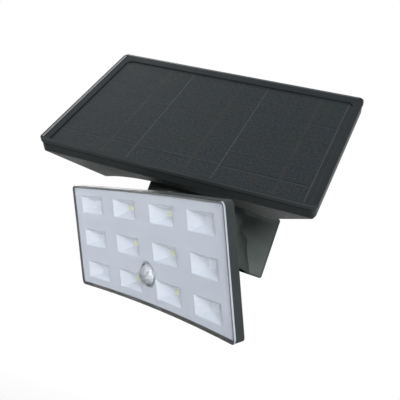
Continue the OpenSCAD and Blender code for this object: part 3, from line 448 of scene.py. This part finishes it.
# A darker copy of the housing plastic for the tray's front wall: painted shade.
tray_front_shade_finish = moulded("tray_front_painted_shade", (0.029, 0.034, 0.035), 0.45, specular=0.12)
knuckle_finish = moulded("knuckle_plastic", (0.040, 0.047, 0.045), 0.5, specular=0.1)
steel_finish = moulded("plated_steel", (0.55, 0.55, 0.53), 0.3, grain=0.1, metallic=1.0)
stud_finish = moulded("black_steel", (0.04, 0.044, 0.044), 0.35, specular=0.4)
rubber_finish = moulded("black_rubber", (0.018, 0.018, 0.018), 0.75, specular=0.1)
sheet_finish = moulded("solar_sheet", (0.020, 0.022, 0.025), 0.5, specular=0.1)
ribbon_finish = moulded("tinned_ribbon", (0.075, 0.085, 0.085), 0.5, specular=0.1)
wrap_finish = moulded("battery_wrap", (0.08, 0.20, 0.38), 0.3)
board_finish = moulded("circuit_board", (0.02, 0.12, 0.06), 0.35)
black_finish = moulded("black_plastic", (0.025, 0.025, 0.026), 0.5)
red_finish = moulded("red_plastic", (0.42, 0.08, 0.05), 0.45)
liner_finish = moulded("acetal", (0.60, 0.60, 0.56), 0.4)
white_board_finish = moulded("led_board", (0.72, 0.73, 0.73), 0.4)
chip_finish = moulded("led_phosphor", (0.62, 0.635, 0.36), 0.35, vary=0.05)
# Near-black plastic for the cover's painted shade.
cover_shade_finish = moulded("cover_painted_shade", (0.015, 0.017, 0.018), 0.4, specular=0.1)
can_finish = moulded("nickel_can", (0.66, 0.66, 0.66), 0.25, metallic=1.0)
# A lighter copy of the bezel plastic for its crest beads: a painted highlight.
crest_highlight_finish = moulded("bezel_crest_painted_highlight", (0.050, 0.060, 0.067), 0.22, grain=0.03, specular=0.6)
ring_finish = moulded("ring_plastic", (0.16, 0.17, 0.195), 0.45, specular=0.1)
# A pale film for a painted highlight on the cover's right edge.
cover_highlight_finish = moulded("cover_edge_painted_highlight", (0.55, 0.60, 0.68), 0.4, grain=0.1, specular=0.3)
plate_finish = moulded("reflector_plastic", PLATE_COLOUR, 0.38, grain=0.03, vary=0.025, specular=0.4)
# Lighter copies of the plate's plastic for the wells' sides: painted light.
well_side_light_finishes = [moulded("reflector_" + name, colour, 0.3, grain=0.03, vary=0.02)
                 for name, colour in WELL_SIDE_PAINTED_LIGHT]


def resin_coated(name, tints):
    """Silicon under satin resin: broad tinted clouds, a fine speckle and a few specks of dust."""
    material, nodes, links, surface = new_material(name)
    coords = coordinates(nodes, links, PANEL)
    clouds = noise(nodes, links, coords, 70, 4, 0.6)
    step = (NOISE_HIGH - NOISE_LOW) / (len(tints) - 1)
    stops = [(NOISE_LOW + step * i, tint) for i, tint in enumerate(tints)]
    broad = ramp(nodes, links, clouds, stops)
    grain = spread(nodes, links, noise(nodes, links, coords, 600, 3, 0.7), 0.25, 0.75, 0.5, 1.5)
    speckled = nodes.new("ShaderNodeVectorMath")
    speckled.operation = "SCALE"
    links.new(broad, speckled.inputs[0])
    links.new(grain, speckled.inputs["Scale"])
    dust = nodes.new("ShaderNodeTexVoronoi")
    dust.inputs["Scale"].default_value = 45
    links.new(coords, dust.inputs["Vector"])
    speck = spread(nodes, links, dust.outputs["Distance"], 0.0, 0.03, 0.10, 0)
    dusty = nodes.new("ShaderNodeVectorMath")
    dusty.operation = "ADD"
    links.new(speckled.outputs[0], dusty.inputs[0])
    links.new(speck, dusty.inputs[1])
    links.new(dusty.outputs[0], surface.inputs["Base Color"])
    sheen = spread(nodes, links, clouds, NOISE_LOW, NOISE_HIGH, 0.45, 0.55)
    links.new(sheen, surface.inputs["Roughness"])
    pits = noise(nodes, links, coords, 700, 3)
    links.new(bump(nodes, links, pits, 0.3, 0.0001), surface.inputs["Normal"])
    surface.inputs["Specular IOR Level"].default_value = 0.05
    return material


cell_finish = resin_coated("solar_cells", CELL_TINTS)
strip_finishes = [moulded(f"cell_strip_{i}", colour, 0.5, specular=0.05)
                  for i, colour in enumerate(STRIP_COLOURS)]
# Seam edges: the pale ones are painted highlight; the dark ones are partly the dark gap between cells
# and partly painted shade.
seam_highlight_finishes = {plain: moulded(f"seam_highlight_{plain}", shade(CELL, 1 + contrast), 0.5, specular=0.05)
                 for plain, contrast in SEAM_LIGHT_CONTRASTS.items()}
seam_shade_finishes = {plain: moulded(f"seam_shade_{plain}", shade(CELL, 1 - contrast), 0.5, specular=0.05)
                 for plain, contrast in SEAM_LIGHT_CONTRASTS.items()}


def clear_plastic(name, tint):
    """Clear acrylic that lets the lamps through."""
    material, nodes, links, surface = new_material(name)
    surface.inputs["Base Color"].default_value = (*tint, 1)
    surface.inputs["Roughness"].default_value = 0.02
    surface.inputs["IOR"].default_value = 1.49
    surface.inputs["Transmission Weight"].default_value = 1
    surface.inputs["Specular IOR Level"].default_value = 0.15
    path = nodes.new("ShaderNodeLightPath")
    lamps = nodes.new("ShaderNodeBsdfTransparent")
    lamps.inputs["Color"].default_value = (*tint, 1)
    mix = nodes.new("ShaderNodeMixShader")
    links.new(path.outputs["Is Shadow Ray"], mix.inputs["Fac"])
    links.new(surface.outputs[0], mix.inputs[1])
    links.new(lamps.outputs[0], mix.inputs[2])
    links.new(mix.outputs[0], nodes["Material Output"].inputs["Surface"])
    return material


cover_finish = clear_plastic("clear_cover", (0.97, 0.985, 1.0))


def faceted(name, colour):
    """Milky plastic moulded in small lens facets, each painted a little lighter or darker than the next
    as painted shading of the facets.
    """
    material, nodes, links, surface = new_material(name)
    coords = coordinates(nodes, links, HEAD)
    cells = nodes.new("ShaderNodeTexVoronoi")
    cells.inputs["Scale"].default_value = 620
    links.new(coords, cells.inputs["Vector"])
    # Each facet's tone is painted shading for how it catches the light.
    facet_shading = nodes.new("ShaderNodeSeparateColor")
    links.new(cells.outputs["Color"], facet_shading.inputs[0])
    links.new(ramp(nodes, links, facet_shading.outputs[0], [(0, shade(colour, 0.75)), (1, shade(colour, 1.2))]),
              surface.inputs["Base Color"])
    links.new(bump(nodes, links, cells.outputs["Distance"], 0.5, 0.0002), surface.inputs["Normal"])
    surface.inputs["Roughness"].default_value = 0.45
    surface.inputs["Coat Weight"].default_value = 0.1
    surface.inputs["Coat Roughness"].default_value = 0.3
    return material


dome_finish = faceted("dome_lens", (0.46, 0.485, 0.525))

finish(["head_stud_nut", "turret_washer", "turret_screw", "tilt_washers", "knuckle_washer",
        "knuckle_screw", "board_screws", "lock_ring_screws"], steel_finish)
finish(["panel_gasket", "button_seal", "cover_gasket"], rubber_finish)
finish(["solar_laminate"], sheet_finish)
finish(["solar_cells"], cell_finish)
finish(["cell_ribbons"], ribbon_finish)
finish(["battery_cells"], wrap_finish)
finish(["controller_board", "switch_board", "sensor_board"], board_finish)
finish(["battery_holders", "controller_parts", "tact_switch"], black_finish)
finish(["switch_plunger"], red_finish)
finish(["head_ball_liner"], liner_finish)
finish(["led_boards"], white_board_finish)
finish(["led_chips"], chip_finish)
finish(["pir_ring"], ring_finish)
finish(["pir_sensor"], can_finish)

# ---- Rounded pieces ----

for node, material, radius in (
        ("wall_bracket", bracket_finish, 0.8), ("panel_tray", housing_finish, 0.5),
        ("panel_bezel", bezel_finish, 0.35), ("turret_yoke", knuckle_finish, 0.6),
        ("panel_knuckle", knuckle_finish, 0.5), ("head_shell", housing_finish, 0.3),
        ("head_lock_ring", housing_finish, 0.4), ("head_ball_stud", stud_finish, 0.4),
        ("lens_cover", cover_finish, 0.25), ("mode_button", rubber_finish, 0.5),
        ("tilt_bolt", steel_finish, 0.3), ("tilt_nut", steel_finish, 0.3),
        ("tray_screws", steel_finish, 0.15), ("head_screws", steel_finish, 0.15)):
    rounded(node, material, radius * MM)


def paint_front_lighting(node, material, turned):
    """Another material on a piece's faces in front of the cells that are turned forwards enough, which
    paints a highlight or shade on them.
    """
    piece = bpy.data.objects[node + ".rounded"]
    piece.data.materials.append(material)
    inward = PANEL.inverted()
    turn = inward.to_3x3()
    for face in piece.data.polygons:
        if (turn @ face.normal).y < -turned and (inward @ face.center).y < CELLS_FRONT * MM:
            face.material_index = 1


# The bezel's front faces carry a painted highlight.
paint_front_lighting("panel_bezel", bezel_front_highlight_finish, 0.35)
# The tray's front wall carries painted shade.
paint_front_lighting("panel_tray", tray_front_shade_finish, 0.85)

# ---- Head ----

def head_plane(axis, value):
    """A point and the direction of the plane at this value on an axis of the head's frame."""
    at = Vector((0, 0, 0))
    at[axis] = value
    return HEAD @ at, HEAD.to_3x3().col[axis].copy()


def face_depth(point):
    """Depth behind the head's curved face of a point in the row frame."""
    local = HEAD.inverted() @ point
    return math.hypot(local.x, local.y + FACE_R) - FACE_R


def on_plate(edge):
    """Whether an edge lies in the reflector plate's front."""
    return all(abs(face_depth(v.co) - PLATE_DEPTH) < ON_PLATE for v in edge.verts)


def mouth_softness(edge):
    """How softly a well's mouth is rounded: most at its right, less at its top, little elsewhere."""
    least, most = MOUTH_TURNS
    if not on_plate(edge) or not least < edge.calc_face_angle(0) < most:
        return 0
    turn = HEAD.inverted().to_3x3()
    wall = max((turn @ face.normal for face in edge.link_faces), key=lambda n: abs(n.x) + abs(n.z))
    if wall.x < -FACING:
        return 1
    return 0.3 if wall.z < -0.5 else 0.15


def cut_everything(bm, place, across, dist, clear_outer=False):
    """Cuts the whole mesh with the plane through a place, square to a direction."""
    bmesh.ops.bisect_plane(bm, geom=bm.verts[:] + bm.edges[:] + bm.faces[:], dist=dist,
                           plane_co=place, plane_no=across, clear_outer=clear_outer)


def cut_through_mouths(bm):
    """Cuts the plate along the lines of its wells' mouths, and takes out upright lines near them."""
    inward = HEAD.inverted()
    corners = {v for e in bm.edges if mouth_softness(e) for v in e.verts}
    places = [inward @ v.co for v in corners]
    for axis in (0, 2):
        cuts = []
        for value in sorted(place[axis] for place in places):
            if not cuts or value - cuts[-1] > SAME_CUT:
                cuts.append(value)
        for value in cuts:
            cut_everything(bm, *head_plane(axis, value), dist=5e-6)
        if axis == 0:
            upright_cuts = cuts
    bmesh.ops.remove_doubles(bm, verts=bm.verts, dist=PLATE_MERGE)
    bm.normal_update()

    def too_near(edge):
        a, b = (inward @ v.co for v in edge.verts)
        gap = min(max(abs(a.x - cut), abs(b.x - cut)) for cut in upright_cuts)
        upright = abs(a.z - b.z) > 5 * abs(a.x - b.x) and abs(a.z - b.z) > MM
        flat = edge.calc_face_angle(1) < math.radians(2)
        return upright and on_plate(edge) and flat and PLATE_MERGE < gap < MOUTH_CLEAR

    bmesh.ops.dissolve_edges(bm, edges=[e for e in bm.edges if too_near(e)], use_verts=True)


def add_reflector():
    """The reflector plate, with the mouths of its wells rounded and their sides painted lighter than
    the plate as painted light.
    """
    bm = cad_copy("reflector_plate", PLATE_MERGE)
    bm.normal_update()
    cut_through_mouths(bm)
    bm.normal_update()
    softness = bm.edges.layers.float.new("bevel_weight_edge")
    for edge in bm.edges:
        edge[softness] = mouth_softness(edge)
    for face in bm.faces:
        face.smooth = True
    piece = mesh_object("reflector_plate.rounded", bm, plate_finish)
    soft = piece.modifiers.new("soft", "BEVEL")
    soft.limit_method = "WEIGHT"
    soft.width = MOUTH_ROUNDING
    soft.segments = 5
    soft.use_clamp_overlap = False
    apply_modifiers(piece)
    piece.data.set_sharp_from_angle(angle=CREASE)
    piece.modifiers.new("normals", "WEIGHTED_NORMAL").keep_sharp = True
    apply_modifiers(piece)
    # Each side of a well but the right one takes a lighter copy of the plate's plastic: painted light
    # for how light falls on that side.
    for material in well_side_light_finishes:
        piece.data.materials.append(material)
    turn = HEAD.inverted().to_3x3()
    for face in piece.data.polygons:
        way = turn @ face.normal
        deep = face_depth(face.center) > PLATE_DEPTH + WELL_SIDE_DEPTH
        if face.area > WELL_SIDE_AREA and way.y < -0.2 and deep:
            lit_sides = (way.x > FACING, way.z > FACING, way.z < -FACING, way.y < -0.95)
            face.material_index = lit_sides.index(True) + 1 if any(lit_sides) else 0
    stand_in(piece, "reflector_plate")


add_reflector()


def thicken(bm, thickness):
    """Makes a film of the faces, with its points and faces in an order that is the same each run."""
    bmesh.ops.solidify(bm, geom=bm.faces[:], thickness=-thickness)
    for parts, place in ((bm.verts, lambda v: v.co), (bm.faces, lambda f: f.calc_center_median())):
        order = {part: i for i, part in enumerate(sorted(parts, key=lambda p: tuple(place(p))))}
        parts.sort(key=order.get)


def add_cover_edge(name, material, faces_here):
    """A film on the cover's edge, on the faces whose direction in the head's frame is picked, whose
    colour paints a highlight or shade there.
    """
    bm = cad_copy("lens_cover", COVER_MERGE)
    bm.normal_update()
    turn = HEAD.inverted().to_3x3()
    hole = HEAD @ Vector((0, 0, -DOME_DROP))

    def picked(face):
        way = turn @ face.normal
        far = (face.calc_center_median() - hole).length > HOLE_REACH
        return abs(way.y) < 0.5 and faces_here(way) and far

    bmesh.ops.delete(bm, geom=[f for f in bm.faces if not picked(f)], context="FACES")
    thicken(bm, EDGE_FILM)
    trim(mesh_object(name, bm, material), "head")


def add_cover_border(name, axis, width):
    """A dark band of painted shade behind the cover along its low side on this axis of the head's
    frame.
    """
    bm = cad_copy("lens_cover", COVER_MERGE)
    inward = HEAD.inverted()
    turn = inward.to_3x3()
    bmesh.ops.delete(bm, geom=[f for f in bm.faces if (turn @ f.normal).y < 0.5], context="FACES")
    low = min((inward @ v.co)[axis] for v in bm.verts)
    cut_everything(bm, *head_plane(axis, low + width), dist=1e-6, clear_outer=True)
    bm.normal_update()
    thicken(bm, BORDER_FILM)
    trim(mesh_object(name, bm, cover_shade_finish), "head")


# Painted shade: dark bands behind the cover at its foot and left, and dark films on its left, top and
# low edges. Painted highlight: a pale film on its right edge.
add_cover_border("cover_border_low", 2, BORDER_LOW)
add_cover_border("cover_border_left", 0, BORDER_LEFT)
add_cover_edge("cover_edge_lit", cover_highlight_finish, lambda way: way.x > FACING)
add_cover_edge("cover_edge_shaded", cover_shade_finish, lambda way: way.x <= FACING)

# ---- Solar panel ----

def slab(bm, low, high):
    """Adds a box between two corners."""
    size = [b - a for a, b in zip(low, high)]
    middle = [(a + b) / 2 for a, b in zip(low, high)]
    place = Matrix.Translation(middle) @ Matrix.Diagonal((*size, 1))
    bmesh.ops.create_cube(bm, size=1, matrix=place)


def panel_slabs(name, spans, thick, material):
    """Thin strips on the cells, each from (x, y) to (x, y) in millimetres."""
    bm = bmesh.new()
    for x0, y0, x1, y1 in spans:
        slab(bm, (x0 * MM, y0 * MM, CELL_Z * MM), (x1 * MM, y1 * MM, (CELL_Z + thick) * MM))
    trim(mesh_object(name, bm, material, PANEL), "panel")


def add_seams():
    """The resin ridges between the rows of cells, each with a pale edge of painted highlight and a dark
    edge that is partly the gap between cells and partly painted shade.
    """
    for plain in SEAM_LIGHT_CONTRASTS:
        highlight_edges, shade_edges = [], []
        for seams, (left, right), gap_at in zip(SEAMS, COLUMN_EDGES, STRIPS_X):
            for row, seam in enumerate(seams):
                if abs(seam) != plain:
                    continue
                middle = CELLS_FRONT + (len(seams) - row) * ROW_PITCH
                front, back = (highlight_edges, shade_edges) if seam > 0 else (shade_edges, highlight_edges)
                for x0, x1 in ((left, gap_at - STRIP_W / 2), (gap_at + STRIP_W / 2, right)):
                    front.append((x0, middle - SEAM_W, x1, middle))
                    back.append((x0, middle, x1, middle + SEAM_W))
        panel_slabs(f"seams_highlight_{plain}", highlight_edges, SEAM_T, seam_highlight_finishes[plain])
        panel_slabs(f"seams_shade_{plain}", shade_edges, SEAM_T, seam_shade_finishes[plain])


def add_strips():
    """The dull strips under the resin, one along each column of cells."""
    for i, x in enumerate(STRIPS_X):
        span = (x - STRIP_W / 2, CELLS_FRONT, x + STRIP_W / 2, CELLS_BACK)
        panel_slabs(f"cell_strip_{i}", [span], STRIP_T, strip_finishes[i])


def add_crest(name, low, high, rounding):
    """A glossy bead along the bezel's top between two corners in millimetres, rounded lengthwise,
    lighter than the bezel as a painted highlight.
    """
    bm = bmesh.new()
    slab(bm, [v * MM for v in low], [v * MM for v in high])
    long = max(range(2), key=lambda axis: high[axis] - low[axis])
    middle = (low[2] + high[2]) / 2 * MM
    edges = [e for e in bm.edges if all(v.co.z > middle for v in e.verts)
             and abs((e.verts[0].co - e.verts[1].co)[long]) > 10 * MM]
    bmesh.ops.bevel(bm, geom=edges, offset=rounding * MM, segments=4, profile=0.5, affect="EDGES")
    piece = smooth_piece(name, bm, crest_highlight_finish)
    piece.matrix_world = PANEL
    trim(piece, "panel")


add_seams()
add_strips()
for side, low, high, rounding in CRESTS:
    add_crest("bezel_crest_painted_highlight_" + side, low, high, rounding)

# ---- Sensor dome ----

def add_dome():
    """A hollow dome of small flat facets on a short foot, as on a motion sensor's lens."""
    bm = bmesh.new()
    pairs = [(i, (i + 1) % DOME_SIDES) for i in range(DOME_SIDES)]
    rims = []
    for radius in (DOME_R, DOME_R - DOME_WALL):
        rises = [math.pi / 2 * k / DOME_RINGS for k in range(DOME_RINGS + 1)]
        profile = [(radius * math.sin(rise), -radius * math.cos(rise)) for rise in rises]
        loops = []
        for r, y in profile + [(radius, DOME_FOOT)]:
            depth = DOME_DEPTH + y if y < 0 else y
            turns = [2 * math.pi * i / DOME_SIDES for i in range(1 if r < 1e-9 else DOME_SIDES)]
            around = [(r * math.cos(turn), depth, r * math.sin(turn)) for turn in turns]
            loops.append([bm.verts.new(place) for place in around])
        for a, b in zip(loops, loops[1:]):
            for i, n in pairs:
                bm.faces.new([a[0], b[i], b[n]] if len(a) == 1 else [a[i], b[i], b[n], a[n]])
        rims.append(loops[-1])
    for i, n in pairs:
        bm.faces.new([rims[0][i], rims[0][n], rims[1][n], rims[1][i]])
    bmesh.ops.recalc_face_normals(bm, faces=bm.faces)
    place = HEAD @ Matrix.Translation((0, 0, -DOME_DROP))
    stand_in(mesh_object("pir_lens.facets", bm, dome_finish, place), "pir_lens")


add_dome()

# ---- Floor ----

def add_floor():
    """A pale disc below the light, white towards its edge, which keeps the light's shadow."""
    material, nodes, links, surface = new_material("floor")
    surface.inputs["Base Color"].default_value = FLOOR_SEEN
    surface.inputs["Roughness"].default_value = 0.8
    coords = nodes.new("ShaderNodeTexCoord").outputs["Object"]
    reach = nodes.new("ShaderNodeVectorMath")
    reach.operation = "LENGTH"
    links.new(coords, reach.inputs[0])
    fade = spread(nodes, links, reach.outputs["Value"], *FLOOR_FADE, 0, 1)
    white = nodes.new("ShaderNodeEmission")
    mix = nodes.new("ShaderNodeMixShader")
    links.new(fade, mix.inputs["Fac"])
    links.new(surface.outputs[0], mix.inputs[1])
    links.new(white.outputs[0], mix.inputs[2])
    dull = nodes.new("ShaderNodeBsdfDiffuse")
    dull.inputs["Color"].default_value = FLOOR_BOUNCE
    both = nodes.new("ShaderNodeMixShader")
    links.new(is_seen_ray(nodes, links), both.inputs["Fac"])
    links.new(dull.outputs[0], both.inputs[1])
    links.new(mix.outputs[0], both.inputs[2])
    links.new(both.outputs[0], nodes["Material Output"].inputs["Surface"])
    bm = bmesh.new()
    bmesh.ops.create_circle(bm, cap_ends=True, segments=96, radius=FLOOR_R)
    middle = Vector((LAMPS_AIM.x, LAMPS_AIM.y, CAD_BOX[0].z - FLOOR_DROP))
    floor = mesh_object("floor", bm, material, Matrix.Translation(middle))


add_camera()
add_world()
for name, at, power in LAMPS:
    add_lamp(name, at, power)
add_floor()
